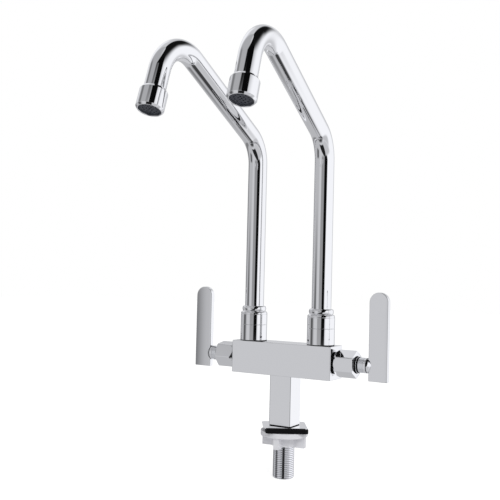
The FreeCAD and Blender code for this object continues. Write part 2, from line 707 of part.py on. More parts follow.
def draw_blade(sketch, inner, outer, foot, top):
    """Blade outline: square foot, straight sides and a half-round top."""
    radius = (outer - inner) / 2
    shoulder = top - radius
    middle = inner + radius
    corners = (
        Vector(inner.number, shoulder.number, 0), Vector(inner.number, foot.number, 0),
        Vector(outer.number, foot.number, 0), Vector(outer.number, shoulder.number, 0))
    left = sketch.addGeometry(Part.LineSegment(corners[0], corners[1]))
    base = sketch.addGeometry(Part.LineSegment(corners[1], corners[2]))
    right = sketch.addGeometry(Part.LineSegment(corners[2], corners[3]))
    centre = Vector(middle.number, shoulder.number, 0)
    circle = Part.Circle(centre, Vector(0, 0, 1), radius.number)
    crown = sketch.addGeometry(Part.ArcOfCircle(circle, 0.0, math.pi))
    for one, end, other, start in ((left, 2, base, 1), (base, 2, right, 1)):
        sketch.addConstraint(Sketcher.Constraint("Coincident", one, end, other, start))
    sketch.addConstraint(Sketcher.Constraint("Tangent", right, 2, crown, 1))
    sketch.addConstraint(Sketcher.Constraint("Tangent", crown, 2, left, 1))
    sketch.addConstraint(Sketcher.Constraint("Vertical", left))
    sketch.addConstraint(Sketcher.Constraint("Vertical", right))
    hold_point(sketch, base, 1, inner, foot)
    hold_point(sketch, right, 1, outer, foot)
    centre_height = Sketcher.Constraint("DistanceY", -1, 1, crown, 3, shoulder.number)
    hold_value(sketch, centre_height, shoulder.formula)


def make_lever(name, side):
    """Flat blade on a round boss; local X runs outward from the bar's middle."""
    body = new_body(name + "_lever")
    start = bar_end + boss_start
    blade = new_sketch(body, "blade", "XZ_Plane")
    inner = start + s.blade_inset
    draw_blade(blade, inner, inner + s.blade_width, -s.blade_below, s.blade_above)
    slab = add_pad(body, blade, s.blade_thickness, both_ways=True)
    edges = body.newObject("PartDesign::Fillet", body.Label + "_edges")
    edges.Base = (slab, [""])
    edges.UseAllEdges = True
    edges.Radius = s.blade_round.number
    edges.setExpression("Radius", s.blade_round.formula)
    doc.recompute()
    boss = new_sketch(body, "boss", "XZ_Plane")
    draw_boss(boss, start, s.boss_diameter / 2, s.boss_length, s.dome_height)
    turned = body.newObject("PartDesign::Revolution", body.Label + "_turned")
    turned.Profile = boss
    turned.ReferenceAxis = (boss, ["H_Axis"])
    turned.Angle = 360
    doc.recompute()
    bore = new_sketch(body, "bore", "YZ_Plane", start)
    draw_circle(bore, 0.0, 0.0, spindle_radius + s.brazed_gap)
    add_cut(body, bore, s.spindle_entry + s.disc_gap, reverse=True)
    hole = new_sketch(body, "screw_hole", "XZ_Plane")
    draw_circle(hole, start + s.screw_place, 0.0, s.screw_diameter / 2 + s.disc_gap)
    add_cut(body, hole, s.boss_diameter / 2)
    place(body, 0.0, 0.0, valve_height, [("z", 90.0 - 90.0 * side)])


def make_lever_screw(name, side):
    """Grub screw with a socket, in from the back of the boss to the spindle."""
    radius = s.screw_diameter / 2
    socket = s.screw_socket / 2
    low = spindle_radius + s.disc_gap
    body = turned_piece(name + "_lever_screw", [
        (0.0, low), (radius, low), (radius, low + s.screw_length),
        (socket, low + s.screw_length), (socket, low + s.screw_length / 2),
        (0.0, low + s.screw_length / 2)])
    along = bar_end + boss_start + s.screw_place
    place(body, along * side, 0.0, valve_height, [("x", -90.0 * side)])


def make_spout_socket(name, side):
    """Lower half of the swivel collar, screwed into the bar."""
    outer = s.collar_outside / 2
    spigot = s.socket_thread / 2 - s.thread_gap
    foot = -s.socket_thread_depth + s.thread_gap
    step = s.socket_height - s.nut_bore_depth
    port = s.socket_port / 2
    body = turned_piece(name + "_spout_socket", [
        (port, foot), (spigot, foot), (spigot, 0.0), (outer, 0.0), (outer, s.socket_height),
        (s.nut_bore / 2, s.socket_height), (s.nut_bore / 2, step), (s.foot_bore / 2, step),
        (s.foot_bore / 2, s.socket_floor), (port, s.socket_floor)])
    place_on_spout(body, side)


def make_ring_nut(name, side):
    """Upper half of the swivel collar, which keeps the spout's foot down."""
    outer = s.collar_outside / 2
    bore = tube_radius + s.running_gap
    spigot = s.nut_bore / 2 - s.thread_gap
    shoulder = ring_nut_top - s.shoulder_height
    top = s.shoulder_top / 2
    middle = (outer * 2 + top) / 3
    body = turned_piece(name + "_ring_nut", [
        (bore, ring_nut_foot), (spigot, ring_nut_foot), (spigot, ring_nut_start),
        (outer, ring_nut_start), (outer, shoulder),
        (middle, shoulder + s.shoulder_height * 2 / 3), (top, ring_nut_top),
        (bore, ring_nut_top)])
    place_on_spout(body, side)


def make_spout_foot(name, side):
    """Brass foot brazed to the tube, with a groove for the O-ring."""
    nose = s.foot_nose / 2
    flange = s.foot_bore / 2 - s.running_gap
    water = s.foot_waterway / 2
    cup = tube_radius + s.brazed_gap
    groove = nose - s.oring_groove_depth
    middle = (foot_start + flange_start) / 2
    low = middle - s.oring_groove_width / 2
    high = middle + s.oring_groove_width / 2
    foot = turned_piece(name + "_spout_foot", [
        (water, foot_start), (nose, foot_start), (nose, low), (groove, low), (groove, high),
        (nose, high), (nose, flange_start), (flange, flange_start), (flange, foot_end),
        (cup, foot_end), (cup, tube_start), (water, tube_start)])
    place_on_spout(foot, side)
    radius = groove + s.oring_section / 2 + s.disc_gap
    ring = rubber_ring(name + "_spout_oring", radius, s.oring_section, middle)
    place_on_spout(ring, side)
    slip = ring_piece(name + "_slip_ring", tube_radius + s.running_gap, flange, slip_start, slip_end)
    place_on_spout(slip, side)


def make_cover_ring(name, side):
    inner = tube_radius + s.brazed_gap
    outer = s.cover_ring_outside / 2
    top = cover_start + s.cover_ring_height
    chamfer = s.cover_ring_chamfer
    body = turned_piece(name + "_cover_ring", [
        (inner, cover_start), (outer, cover_start), (outer, top - chamfer),
        (outer - chamfer, top), (inner, top)])
    place_on_spout(body, side)


def draw_spout_line(sketch):
    """Centre line of a spout: up, over and down to the outlet."""
    rise, lean, tilt = s.spout_rise, s.bend_angle, s.outlet_tilt
    low, crown = s.bend_radius, s.crown_radius
    last = s.outlet_run + s.nozzle_end
    start = Vector(0, tube_start.number, 0)
    a = math.radians(lean.number)
    b = math.radians(tilt.number)
    bend_from = Vector(0, rise.number, 0)
    bend_centre = Vector(low.number, rise.number, 0)
    bend_to = bend_centre + Vector(-math.cos(a), math.sin(a), 0) * low.number
    crown_from = bend_to + Vector(math.sin(a), math.cos(a), 0) * s.slope_length.number
    crown_centre = crown_from + Vector(math.cos(a), -math.sin(a), 0) * crown.number
    crown_to = crown_centre + Vector(math.cos(b), math.sin(b), 0) * crown.number
    end = crown_to + Vector(math.sin(b), -math.cos(b), 0) * last.number
    axis = Vector(0, 0, 1)
    up = sketch.addGeometry(Part.LineSegment(start, bend_from))
    bend = sketch.addGeometry(Part.ArcOfCircle(
        Part.Circle(bend_centre, axis, low.number), math.pi - a, math.pi))
    slope = sketch.addGeometry(Part.LineSegment(bend_to, crown_from))
    over = sketch.addGeometry(Part.ArcOfCircle(
        Part.Circle(crown_centre, axis, crown.number), b, math.pi - a))
    down = sketch.addGeometry(Part.LineSegment(crown_to, end))
    hold_point(sketch, up, 1, as_size(0.0), tube_start)
    hold_point(sketch, up, 2, as_size(0.0), rise)
    for one, end_one, other, end_other in (
            (up, 2, bend, 2), (bend, 1, slope, 1), (slope, 2, over, 2), (over, 1, down, 1)):
        sketch.addConstraint(Sketcher.Constraint("Tangent", one, end_one, other, end_other))
    hold_value(sketch, Sketcher.Constraint("Radius", bend, low.number), low.formula)
    hold_value(sketch, Sketcher.Constraint("Radius", over, crown.number), crown.formula)
    length = Sketcher.Constraint("Distance", slope, s.slope_length.number)
    hold_value(sketch, length, s.slope_length.formula)
    hold_value(sketch, Sketcher.Constraint("Distance", down, last.number), last.formula)
    # The run's own width and height fix its direction.
    across = s.slope_length * sine(lean)
    width = Sketcher.Constraint("DistanceX", slope, 1, slope, 2, across.number)
    hold_value(sketch, width, across.formula)
    out = last * sine(tilt)
    width = Sketcher.Constraint("DistanceX", down, 1, down, 2, out.number)
    hold_value(sketch, width, out.formula)


def make_spout_tube(name, side, heading):
    """Bent tube, swept along the spout's centre line and bored through."""
    body = new_body(name + "_spout_tube")
    line = new_sketch(body, "line", "XZ_Plane")
    draw_spout_line(line)
    edges = ["Edge%d" % (k + 1) for k in range(5)]
    outside = new_sketch(body, "outside", "XY_Plane", tube_start)
    draw_circle(outside, 0.0, 0.0, tube_radius)
    draw_circle(outside, 0.0, 0.0, tube_radius - s.tube_wall)
    pipe = body.newObject("PartDesign::AdditivePipe", body.Label + "_pipe")
    pipe.Profile = outside
    pipe.Spine = (line, edges)
    doc.recompute()
    section = math.pi * (tube_radius.number ** 2 - (tube_radius - s.tube_wall).number ** 2)
    if abs(pipe.Shape.Volume / (section * line.Shape.Length) - 1) > 0.001:
        raise RuntimeError(body.Label + " has the wrong volume")
    place_on_spout(body, side, heading)


def outlet_corner():
    """Reach and height of the aerator's upper edge in the spout's own plane."""
    a, b = s.bend_angle, s.outlet_tilt
    out = s.bend_radius * (1 - cosine(a)) + s.slope_length * sine(a)
    out = out + s.crown_radius * (cosine(a) + cosine(b)) + s.outlet_run * sine(b)
    rise = s.spout_rise + s.bend_radius * sine(a) + s.slope_length * cosine(a)
    rise = rise + s.crown_radius * (sine(b) - sine(a)) - s.outlet_run * cosine(b)
    return out, rise


def place_on_outlet(body, side, heading):
    """Local Z runs out of the spout from the aerator's upper edge."""
    out, rise = outlet_corner()
    x = s.spout_spacing / 2 * side + out * cosine(heading)
    y = out * sine(heading)
    place(body, x, y, bar_top + rise, [("z", heading), ("y", 180.0 - s.outlet_tilt)])


def make_aerator(name, side, heading):
    """Nozzle on the tube, washer, insert, mesh disc and the shell round them."""
    shell_bore = s.nozzle_diameter / 2 + s.thread_gap
    insert_bore = s.insert_diameter / 2 + s.insert_gap
    outer = s.shell_diameter / 2
    lip = s.shell_lip / 2
    lip_start = s.shell_length - s.lip_thickness
    entry = tube_radius + s.shell_entry_gap
    nozzle_start = s.nozzle_end - s.nozzle_length
    insert_step = s.insert_start - s.disc_gap
    shell = turned_piece(name + "_aerator_shell", [
        (entry, 0.0), (s.shell_neck / 2, 0.0), (outer, s.shell_shoulder),
        (outer, s.shell_length - s.shell_edge), (outer - s.shell_edge, s.shell_length),
        (lip, s.shell_length), (lip, lip_start), (insert_bore, lip_start),
        (insert_bore, insert_step), (shell_bore, insert_step),
        (shell_bore, nozzle_start - s.disc_gap), (entry, nozzle_start - s.disc_gap)])
    nozzle = ring_piece(
        name + "_spout_nozzle", tube_radius + s.brazed_gap, s.nozzle_diameter / 2,
        nozzle_start, s.nozzle_end)
    washer = ring_piece(
        name + "_aerator_washer", s.insert_bore / 2, s.nozzle_diameter / 2,
        s.nozzle_end + s.disc_gap, insert_step)
    insert_end = lip_start - s.disc_gap
    insert = ring_piece(
        name + "_aerator_insert", s.insert_bore / 2, s.insert_diameter / 2,
        s.insert_start, insert_end)
    mesh = make_mesh(name, insert_end - s.mesh_recess)
    for piece in (shell, nozzle, washer, insert, mesh):
        place_on_outlet(piece, side, heading)


def make_mesh(name, end):
    """Disc with a centre hole and two rings of holes."""
    body = new_body(name + "_aerator_mesh")
    radius = s.insert_bore / 2 - s.brazed_gap
    start = end - s.mesh_thickness
    turn_profile(body, "profile", [(0.0, start), (radius, start), (radius, end), (0.0, end)])
    doc.recompute()
    for spot, count, label in (
            (as_size(0.0), 1, "centre_hole"), (s.mesh_inner_ring, 6, "inner_hole"),
            (s.mesh_outer_ring, 12, "outer_hole")):
        hole = new_sketch(body, label, "XY_Plane", end)
        draw_circle(hole, spot, 0.0, s.mesh_hole / 2)
        cut = add_cut(body, hole, s.mesh_thickness)
        if count > 1:
            add_ring_of(body, cut, count)
    return body


def make_valve(name, side, turn):
    make_bonnet(name, side, turn)
    make_rings_on_valve(name, side)
    make_cage(name, side)
    make_discs(name, side)
    make_spindle(name, side)
    make_sleeve(name, side)
    make_lever(name, side)
    make_lever_screw(name, side)


def make_spout(name, side, heading):
    make_spout_socket(name, side)
    make_ring_nut(name, side)
    make_spout_foot(name, side)
    make_cover_ring(name, side)
    make_spout_tube(name, side, heading)
    make_aerator(name, side, heading)


make_tap_body()
make_threaded_shank()
make_plate("base_plate", s.plate_width, s.plate_depth, s.plate_corner, as_size(0.0),
           s.plate_thickness, s.shank_diameter / 2 + s.loose_gap, as_size(0.0))
make_plate("rubber_washer", s.washer_width, s.washer_width, s.washer_corner, washer_top,
           s.washer_thickness, s.washer_hole / 2, s.washer_shift)
make_back_nut()
make_valve("left", -1, s.left_hex_turn)
make_valve("right", 1, s.right_hex_turn)
make_spout("left", -1, -90.0 - s.left_swing)
make_spout("right", 1, -90.0 + s.right_swing)
doc.recompute()

# Nothing is written unless every feature worked and every piece is one sound solid.
for item in doc.Objects:
    if "Invalid" in item.State or "Error" in item.State:
        raise RuntimeError(item.Label + " failed: " + ", ".join(item.State))
for piece in pieces:
    shape = piece.Shape
    if shape.isNull() or not shape.isValid() or len(shape.Solids) != 1:
        raise RuntimeError(piece.Label + " is not one sound solid")

os.makedirs("parts", exist_ok=True)
for piece in pieces:
    piece.Shape.exportStep("parts/" + piece.Label + ".step")
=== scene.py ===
import math
import bpy
from mathutils import Matrix, Vector


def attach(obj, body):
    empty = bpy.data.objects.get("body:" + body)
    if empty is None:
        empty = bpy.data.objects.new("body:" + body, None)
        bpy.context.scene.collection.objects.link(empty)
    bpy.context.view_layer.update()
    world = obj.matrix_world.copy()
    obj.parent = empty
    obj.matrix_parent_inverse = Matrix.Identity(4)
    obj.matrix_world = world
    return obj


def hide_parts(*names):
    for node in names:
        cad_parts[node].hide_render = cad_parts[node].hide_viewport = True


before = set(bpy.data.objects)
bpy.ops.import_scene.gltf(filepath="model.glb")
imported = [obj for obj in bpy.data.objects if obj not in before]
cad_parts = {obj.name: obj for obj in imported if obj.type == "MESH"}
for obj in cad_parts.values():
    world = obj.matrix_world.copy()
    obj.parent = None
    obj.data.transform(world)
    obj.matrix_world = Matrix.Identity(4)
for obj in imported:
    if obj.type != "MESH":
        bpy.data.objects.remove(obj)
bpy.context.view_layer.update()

MM = 0.001

# Main sizes of the tap in millimetres and degrees, the same as in the CAD source.
BAR_END = 54.5
BAR_TOP = 81.0
BAR_DEPTH = 27.0
COLUMN_HEIGHT = 49.0
COLUMN_WIDTH = 23.8
COLUMN_DEPTH = 21.2
VALVE_HEIGHT = 65.0
SPOUT_OFFSET = 37.6
HEADINGS = {"left": -90.0, "right": -85.6}
WAYS = {"left": -1, "right": 1}
HEX_TURNS = {"left": 20.0, "right": 0.0}
PLATE_TURN = 32.3
NUT_TURN = 7.3
SHANK_FOOT = -51.0
THREAD_CREST = 10.4775
TUBE_RADIUS = 9.525
TUBE_WALL = 1.2

# Radii that several pieces share.
COLLAR_RADIUS = 13.5
SCREWED_RADIUS = 8.4
SPIGOT_HOLE = 9.1
SPINDLE_BORE = 4.03
BOSS_RADIUS = 7.2

# Lever: distances of the blade from the tap's middle and from the valve's axis, and the boss.
BLADE_INNER = 88.2
BLADE_OUTER = 106.8
BLADE_DEPTH = 5.4
BLADE_FOOT = -14.2
BLADE_TOP = 68.5
BOSS_START = 84.1
BOSS_LENGTH = 3.4
DOME_HEIGHT = 4.0

# Sizes that only the scene has: the seam under the column, filled with a black piece as painted
# shade, how far the shading of a blade falls away, and the shank's thread.
FOOT_SEAM = 0.7
BLADE_CROWN = 1.0
THREAD_PITCH = 1.814
THREAD_DEPTH = 0.45

# Shares of the pitch: one flank, and the distances from the middle of the groove at which its
# painted shade starts to fade and the full tone begins. The last is the tone of that painted
# shade, a share of the full.
THREAD_FLANK = 0.12
GROOVE_SHADE_CORE = 0.06
GROOVE_SHADE_EDGE = 0.22
GROOVE_SHADE_TONE = 0.62

# How far a cutting tool stands out of its piece.
PAST = 5.0


# Modelling helpers.

def clear_selection():
    for thing in bpy.context.selected_objects:
        thing.select_set(False)


def make_active(piece):
    clear_selection()
    piece.select_set(True)
    bpy.context.view_layer.objects.active = piece


def named(name):
    """Name the object that was just added, with its place moved into its mesh."""
    piece = bpy.context.active_object
    piece.name = name
    piece.data.name = name
    return keep_place(piece)


def keep_place(piece):
    """Move the piece's place into its mesh and leave its origin at the frame's."""
    make_active(piece)
    bpy.ops.object.transform_apply(location=True, rotation=True, scale=True)
    return piece


def settle(piece, place):
    """Move a piece modelled at the origin to its place, and keep the place in its mesh."""
    piece.matrix_world = place
    return keep_place(piece)


def edit_all(piece):
    make_active(piece)
    bpy.ops.object.mode_set(mode="EDIT")
    bpy.ops.mesh.select_all(action="SELECT")


def leave_edit():
    bpy.ops.object.mode_set(mode="OBJECT")


def apply_modifier(piece, kind, **values):
    make_active(piece)
    modifier = piece.modifiers.new(kind.lower(), kind)
    for key, value in values.items():
        setattr(modifier, key, value)
    bpy.ops.object.modifier_apply(modifier=modifier.name)
    return piece


def tidy_mesh(piece):
    """Merge doubled points and point every face outwards."""
    edit_all(piece)
    bpy.ops.mesh.remove_doubles(threshold=0.000002)
    bpy.ops.mesh.normals_make_consistent(inside=False)
    leave_edit()
    return piece


def ease_edges(piece, width, segments=3, angle=28.0):
    """Round the sharp edges a little."""
    return apply_modifier(
        piece, "BEVEL", width=width * MM, segments=segments, limit_method="ANGLE",
        angle_limit=math.radians(angle), use_clamp_overlap=True)


def smooth(piece, angle=40.0):
    """Smooth shading that leaves flat faces truly flat."""
    make_active(piece)
    bpy.ops.object.shade_smooth_by_angle(angle=math.radians(angle))
    return apply_modifier(piece, "WEIGHTED_NORMAL", weight=90, keep_sharp=True)


def circle(name, radius, height, segments=96):
    """An open ring of points about Z."""
    clear_selection()
    bpy.ops.mesh.primitive_circle_add(
        vertices=segments, radius=radius * MM, location=(0, 0, height * MM))
    return named(name)


def extrude_rings(rings):
    """Extrude the selected ring through a profile of (radius, height) points about Z."""
    for (r0, z0), (r1, z1) in zip(rings, rings[1:]):
        rise = (0, 0, (z1 - z0) * MM)
        bpy.ops.mesh.extrude_region_move(TRANSFORM_OT_translate={"value": rise})
        if r1 != r0:
            ratio = r1 / r0
            bpy.ops.transform.resize(
                value=(ratio, ratio, 1), center_override=(0, 0, z1 * MM))


def turned(name, rings, segments=128, closed=True):
    """Turn a profile of (radius, height) points about Z."""
    if closed:
        rings = [*rings, rings[0]]
    piece = circle(name, *rings[0], segments)
    edit_all(piece)
    extrude_rings(rings)
    leave_edit()
    return tidy_mesh(piece)


def arc_rings(centre, radii, start, end, steps):
    """Profile points along an elliptical arc between two angles in degrees."""
    points = []
    for k in range(steps + 1):
        angle = math.radians(start + (end - start) * k / steps)
        points.append((centre[0] + radii[0] * math.cos(angle),
                       centre[1] + radii[1] * math.sin(angle)))
    return points


def block(name, size, centre):
    """A box of the given size about its centre."""
    clear_selection()
    bpy.ops.mesh.primitive_cube_add(size=1, location=[value * MM for value in centre])
    bpy.context.active_object.scale = [value * MM for value in size]
    return named(name)


def rod(name, radius, low, high, segments=96):
    """A solid cylinder or prism along Z between two heights."""
    clear_selection()
    bpy.ops.mesh.primitive_cylinder_add(
        vertices=segments, radius=radius * MM, depth=(high - low) * MM,
        location=(0, 0, (low + high) / 2 * MM))
    return named(name)


def combine(piece, tool, operation):
    """Boolean with a tool piece that is removed afterwards."""
    apply_modifier(piece, "BOOLEAN", object=tool, operation=operation, solver="EXACT")
    bpy.data.objects.remove(tool, do_unlink=True)
    return piece


def drill(piece, radius, low, high, place=Matrix()):
    """Cut a round hole between two heights along the local Z of a place."""
    return combine(piece, settle(rod("drill", radius, low, high), place), "DIFFERENCE")


def select_edges(piece, wanted):
    """Go into edit mode with only the edges for which wanted(a, b) holds selected."""
    make_active(piece)
    bpy.ops.object.mode_set(mode="EDIT")
    bpy.ops.mesh.select_mode(type="EDGE")
    bpy.ops.mesh.select_all(action="DESELECT")
    leave_edit()
    points = piece.data.vertices
    for edge in piece.data.edges:
        edge.select = wanted(*(points[k].co for k in edge.vertices))
    bpy.ops.object.mode_set(mode="EDIT")


def leave_edge_edit():
    bpy.ops.mesh.select_mode(type="VERT")
    leave_edit()


def round_corners(piece, axis, offset, segments, above=-1000.0):
    """Bevel the edges that run along one axis and lie above a height."""
    number = "XYZ".index(axis)

    def wanted(a, b):
        return abs((b - a).normalized()[number]) > 0.99 and min(a.z, b.z) > above * MM

    select_edges(piece, wanted)
    bpy.ops.mesh.bevel(offset=offset * MM, segments=segments, affect="EDGES")
    leave_edge_edit()
    return tidy_mesh(piece)


def turn(angle, axis):
    return Matrix.Rotation(math.radians(angle), 4, axis)


def shift(x, y, z):
    return Matrix.Translation((x * MM, y * MM, z * MM))


def on_valve(side, angle=0.0):
    """Local Z runs outward along a valve axis from the end of the bar."""
    way = WAYS[side]
    return shift(BAR_END * way, 0, VALVE_HEIGHT) @ turn(90.0 * way, "Y") @ turn(angle, "Z")


def on_spout(side):
    """Local Z runs up a spout axis from the top of the bar, local X towards the outlet."""
    return shift(SPOUT_OFFSET * WAYS[side], 0, BAR_TOP) @ turn(HEADINGS[side], "Z")


def finish_piece(piece, body, slot_name, material, *nodes):
    """Dress a piece, tie it to its body and hide the CAD nodes that it stands for."""
    piece.data.materials.clear()
    piece.data.materials.append(material)
    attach(piece, body)
    if nodes:
        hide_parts(*nodes)
    return piece


def ring_piece(name, rings, place, body, slot_name, material, *nodes,
               segments=128, edge=0.0, angle=40.0):
    """A turned piece, smoothed up to an angle, whose edges may be eased first."""
    piece = turned(name, rings, segments)
    if edge:
        ease_edges(piece, edge)
    smooth(piece, angle)
    settle(piece, place)
    return finish_piece(piece, body, slot_name, material, *nodes)


# Shader helpers and node groups.

def new_group(name, inputs, outputs):
    """A node group with number sockets, its input node and its output node."""
    group = bpy.data.node_groups.new(name, "ShaderNodeTree")
    for label, value in inputs.items():
        socket = group.interface.new_socket(
            label, in_out="INPUT", socket_type="NodeSocketFloat")
        socket.default_value = value
    for label in outputs:
        group.interface.new_socket(label, in_out="OUTPUT", socket_type="NodeSocketFloat")
    return group, group.nodes.new("NodeGroupInput"), group.nodes.new("NodeGroupOutput")


def add_node(tree, kind, **values):
    node = tree.nodes.new(kind)
    for key, value in values.items():
        setattr(node, key, value)
    return node


def feed(tree, source, socket):
    """Give a socket a plain number or a link."""
    if isinstance(source, (int, float)):
        socket.default_value = source
    else:
        tree.links.new(source, socket)


def calculate(tree, operation, *sources):
    """The result of a math node that is fed by sockets and plain numbers."""
    node = add_node(tree, "ShaderNodeMath", operation=operation)
    for socket, source in zip(node.inputs, sources):
        feed(tree, source, socket)
    return node.outputs[0]


def object_place(tree):
    return add_node(tree, "ShaderNodeTexCoord").outputs["Object"]


def split_axes(tree, vector):
    """Sockets X, Y and Z of a vector."""
    node = add_node(tree, "ShaderNodeSeparateXYZ")
    tree.links.new(vector, node.inputs[0])
    return node.outputs


def add_noise(tree, where, scale, detail, roughness):
    node = add_node(tree, "ShaderNodeTexNoise")
    tree.links.new(where, node.inputs["Vector"])
    for label, source in (("Scale", scale), ("Detail", detail), ("Roughness", roughness)):
        feed(tree, source, node.inputs[label])
    return node.outputs["Fac"]


def add_range(tree, value, low, high, to_low, to_high, blend="LINEAR"):
    node = add_node(tree, "ShaderNodeMapRange", interpolation_type=blend)
    for label, source in (("Value", value), ("From Min", low), ("From Max", high),
                          ("To Min", to_low), ("To Max", to_high)):
        feed(tree, source, node.inputs[label])
    return node.outputs["Result"]


def add_bump(tree, height, strength, distance):
    node = add_node(tree, "ShaderNodeBump")
    for label, source in (("Height", height), ("Strength", strength), ("Distance", distance)):
        feed(tree, source, node.inputs[label])
    return node.outputs["Normal"]


def scale_colour(tree, colour, factor):
    """A colour or a colour socket times a number socket."""
    node = add_node(tree, "ShaderNodeVectorMath", operation="SCALE")
    if isinstance(colour, tuple):
        node.inputs[0].default_value = colour
    else:
        tree.links.new(colour, node.inputs[0])
    tree.links.new(factor, node.inputs["Scale"])
    return node.outputs[0]


def mix_tones(tree, factor, first, second):
    mix = add_node(tree, "ShaderNodeMix", data_type="RGBA")
    tree.links.new(factor, mix.inputs["Factor"])
    mix.inputs["A"].default_value = (*first, 1.0)
    mix.inputs["B"].default_value = (*second, 1.0)
    return mix.outputs["Result"]


def mix_shaders(tree, factor, first, second):
    mix = add_node(tree, "ShaderNodeMixShader")
    for socket, source in zip(mix.inputs, (factor, first, second)):
        tree.links.new(source, socket)
    return mix.outputs[0]


def place_group(tree, group, values):
    node = add_node(tree, "ShaderNodeGroup", node_tree=group)
    for key, value in values.items():
        node.inputs[key].default_value = value
    return node


def build_polish_group():
    """Hand-polished plate: faint cloudy haze, fine dust and a slow wave."""
    group, start, end = new_group("polished_surface", {"Gloss": 0.04, "Haze": 0.05},
                                  ("Roughness", "Shade", "Height"))
    place = object_place(group)
    cloud = add_noise(group, place, scale=60.0, detail=5.0, roughness=0.62)
    haze = add_range(group, cloud, 0.48, 0.78, 0.0, start.outputs["Haze"])
    dust = add_noise(group, place, scale=900.0, detail=3.0, roughness=0.6)
    wave = add_noise(group, place, scale=110.0, detail=2.0, roughness=0.5)
    feed(group, calculate(group, "ADD", haze, start.outputs["Gloss"]), end.inputs["Roughness"])
    feed(group, add_range(group, dust, 0.62, 0.80, 1.0, 0.94), end.inputs["Shade"])
    feed(group, wave, end.inputs["Height"])
    return group


def build_grain_group():
    """Moulded or rubbed surface: fine pits with slow patches of tone."""
    group, start, end = new_group("moulded_surface",
                                  {"Grain": 1500.0, "Dull": 0.5, "Spread": 0.15},
                                  ("Roughness", "Tone", "Height"))
    place = object_place(group)
    patch = add_noise(group, place, scale=90.0, detail=4.0, roughness=0.55)
    pits = add_noise(group, place, scale=start.outputs["Grain"], detail=4.0, roughness=0.6)
    dull = calculate(group, "MULTIPLY_ADD", patch, start.outputs["Spread"],
                     start.outputs["Dull"])
    feed(group, dull, end.inputs["Roughness"])
    feed(group, patch, end.inputs["Tone"])
    feed(group, pits, end.inputs["Height"])
    return group


POLISH = build_polish_group()
GRAIN = build_grain_group()


# Materials.

def new_material(name):
    material = bpy.data.materials.new(name)
    material.use_nodes = True
    tree = material.node_tree
    return material, tree, tree.nodes["Principled BSDF"]


def metal(name, bright, dull, gloss, haze):
    """Polished or satin metal with dust, haze and a slightly uneven surface."""
    material, tree, shader = new_material(name)
    marks = place_group(tree, POLISH, {"Gloss": gloss, "Haze": haze}).outputs
    feed(tree, mix_tones(tree, marks["Shade"], dull, bright), shader.inputs["Base Color"])
    feed(tree, marks["Roughness"], shader.inputs["Roughness"])
    feed(tree, 1.0, shader.inputs["Metallic"])
    wave = add_bump(tree, marks["Height"], strength=0.5, distance=0.000004)
    feed(tree, wave, shader.inputs["Normal"])
    return material


def moulded(name, light, dark, dull, spread, grain, depth, sheen=0.5):
    """Plastic, rubber or ceramic with pits and slow changes of tone."""
    material, tree, shader = new_material(name)
    marks = place_group(tree, GRAIN, {"Grain": grain, "Dull": dull, "Spread": spread}).outputs
    feed(tree, mix_tones(tree, marks["Tone"], dark, light), shader.inputs["Base Color"])
    feed(tree, marks["Roughness"], shader.inputs["Roughness"])
    feed(tree, sheen, shader.inputs["Specular IOR Level"])
    pits = add_bump(tree, marks["Height"], strength=0.6, distance=depth)
    feed(tree, pits, shader.inputs["Normal"])
    return material


def crowned_metal(name, **finish):
    """Metal of the lever blades, whose polished faces fall away a little to the outer edge."""
    material = metal(name, **finish)
    tree = material.node_tree
    across = calculate(tree, "ABSOLUTE", split_axes(tree, object_place(tree))["X"])
    reach = add_range(tree, across, BLADE_INNER * MM, BLADE_OUTER * MM, 0.0, 1.0)
    square = calculate(tree, "MULTIPLY", reach, reach)
    fall = calculate(tree, "MULTIPLY", square, -BLADE_CROWN * MM)
    marks = tree.nodes["Principled BSDF"].inputs["Normal"].links[0].from_node
    feed(tree, add_bump(tree, fall, strength=1.0, distance=1.0), marks.inputs["Normal"])
    return material


def groove_shaded_metal(name, **finish):
    """Metal of the shank, with painted shade that darkens the grooves of its thread."""
    material = metal(name, **finish)
    tree = material.node_tree
    axes = split_axes(tree, object_place(tree))
    turns = calculate(tree, "DIVIDE", calculate(tree, "ARCTAN2", axes["Y"], axes["X"]),
                      2.0 * math.pi)
    rise = calculate(tree, "DIVIDE", axes["Z"], THREAD_PITCH * MM)
    phase = calculate(tree, "FRACT", calculate(tree, "SUBTRACT", rise, turns))
    reach = calculate(tree, "ABSOLUTE", calculate(tree, "SUBTRACT", phase, 0.5))
    # Painted shade: the base colour falls to a share of itself down in the thread's grooves.
    shade = add_range(tree, reach, GROOVE_SHADE_CORE, GROOVE_SHADE_EDGE, GROOVE_SHADE_TONE, 1.0)
    base = tree.nodes["Principled BSDF"].inputs["Base Color"]
    feed(tree, scale_colour(tree, base.links[0].from_socket, shade), base)
    return material


PLATED = {"bright": (0.93, 0.93, 0.94), "dull": (0.55, 0.55, 0.56)}
CHROME = metal("mirror_chrome", **PLATED, gloss=0.015, haze=0.03)
SPOUT_CHROME = metal("bent_tube_chrome", **PLATED, gloss=0.015, haze=0.02)
LEVER_CHROME = crowned_metal("lever_chrome", **PLATED, gloss=0.02, haze=0.03)
# The shank's chrome carries painted shade in the grooves of its thread.
SHANK_SHADED_CHROME = groove_shaded_metal("thread_chrome", bright=(0.88, 0.88, 0.91),
                              dull=(0.45, 0.45, 0.47), gloss=0.025, haze=0.04)
SATIN = metal("satin_chrome", bright=(0.88, 0.89, 0.91), dull=(0.60, 0.61, 0.62),
              gloss=0.16, haze=0.08)
STEEL = metal("dark_steel", bright=(0.38, 0.38, 0.39), dull=(0.20, 0.20, 0.21),
              gloss=0.30, haze=0.15)
BRASS = metal("turned_brass", bright=(0.80, 0.60, 0.28), dull=(0.45, 0.30, 0.12),
              gloss=0.22, haze=0.15)
RUBBER = moulded("black_rubber", light=(0.008, 0.008, 0.009), dark=(0.003, 0.003, 0.004),
                 dull=0.45, spread=0.3, grain=1400.0, depth=0.00002, sheen=0.12)
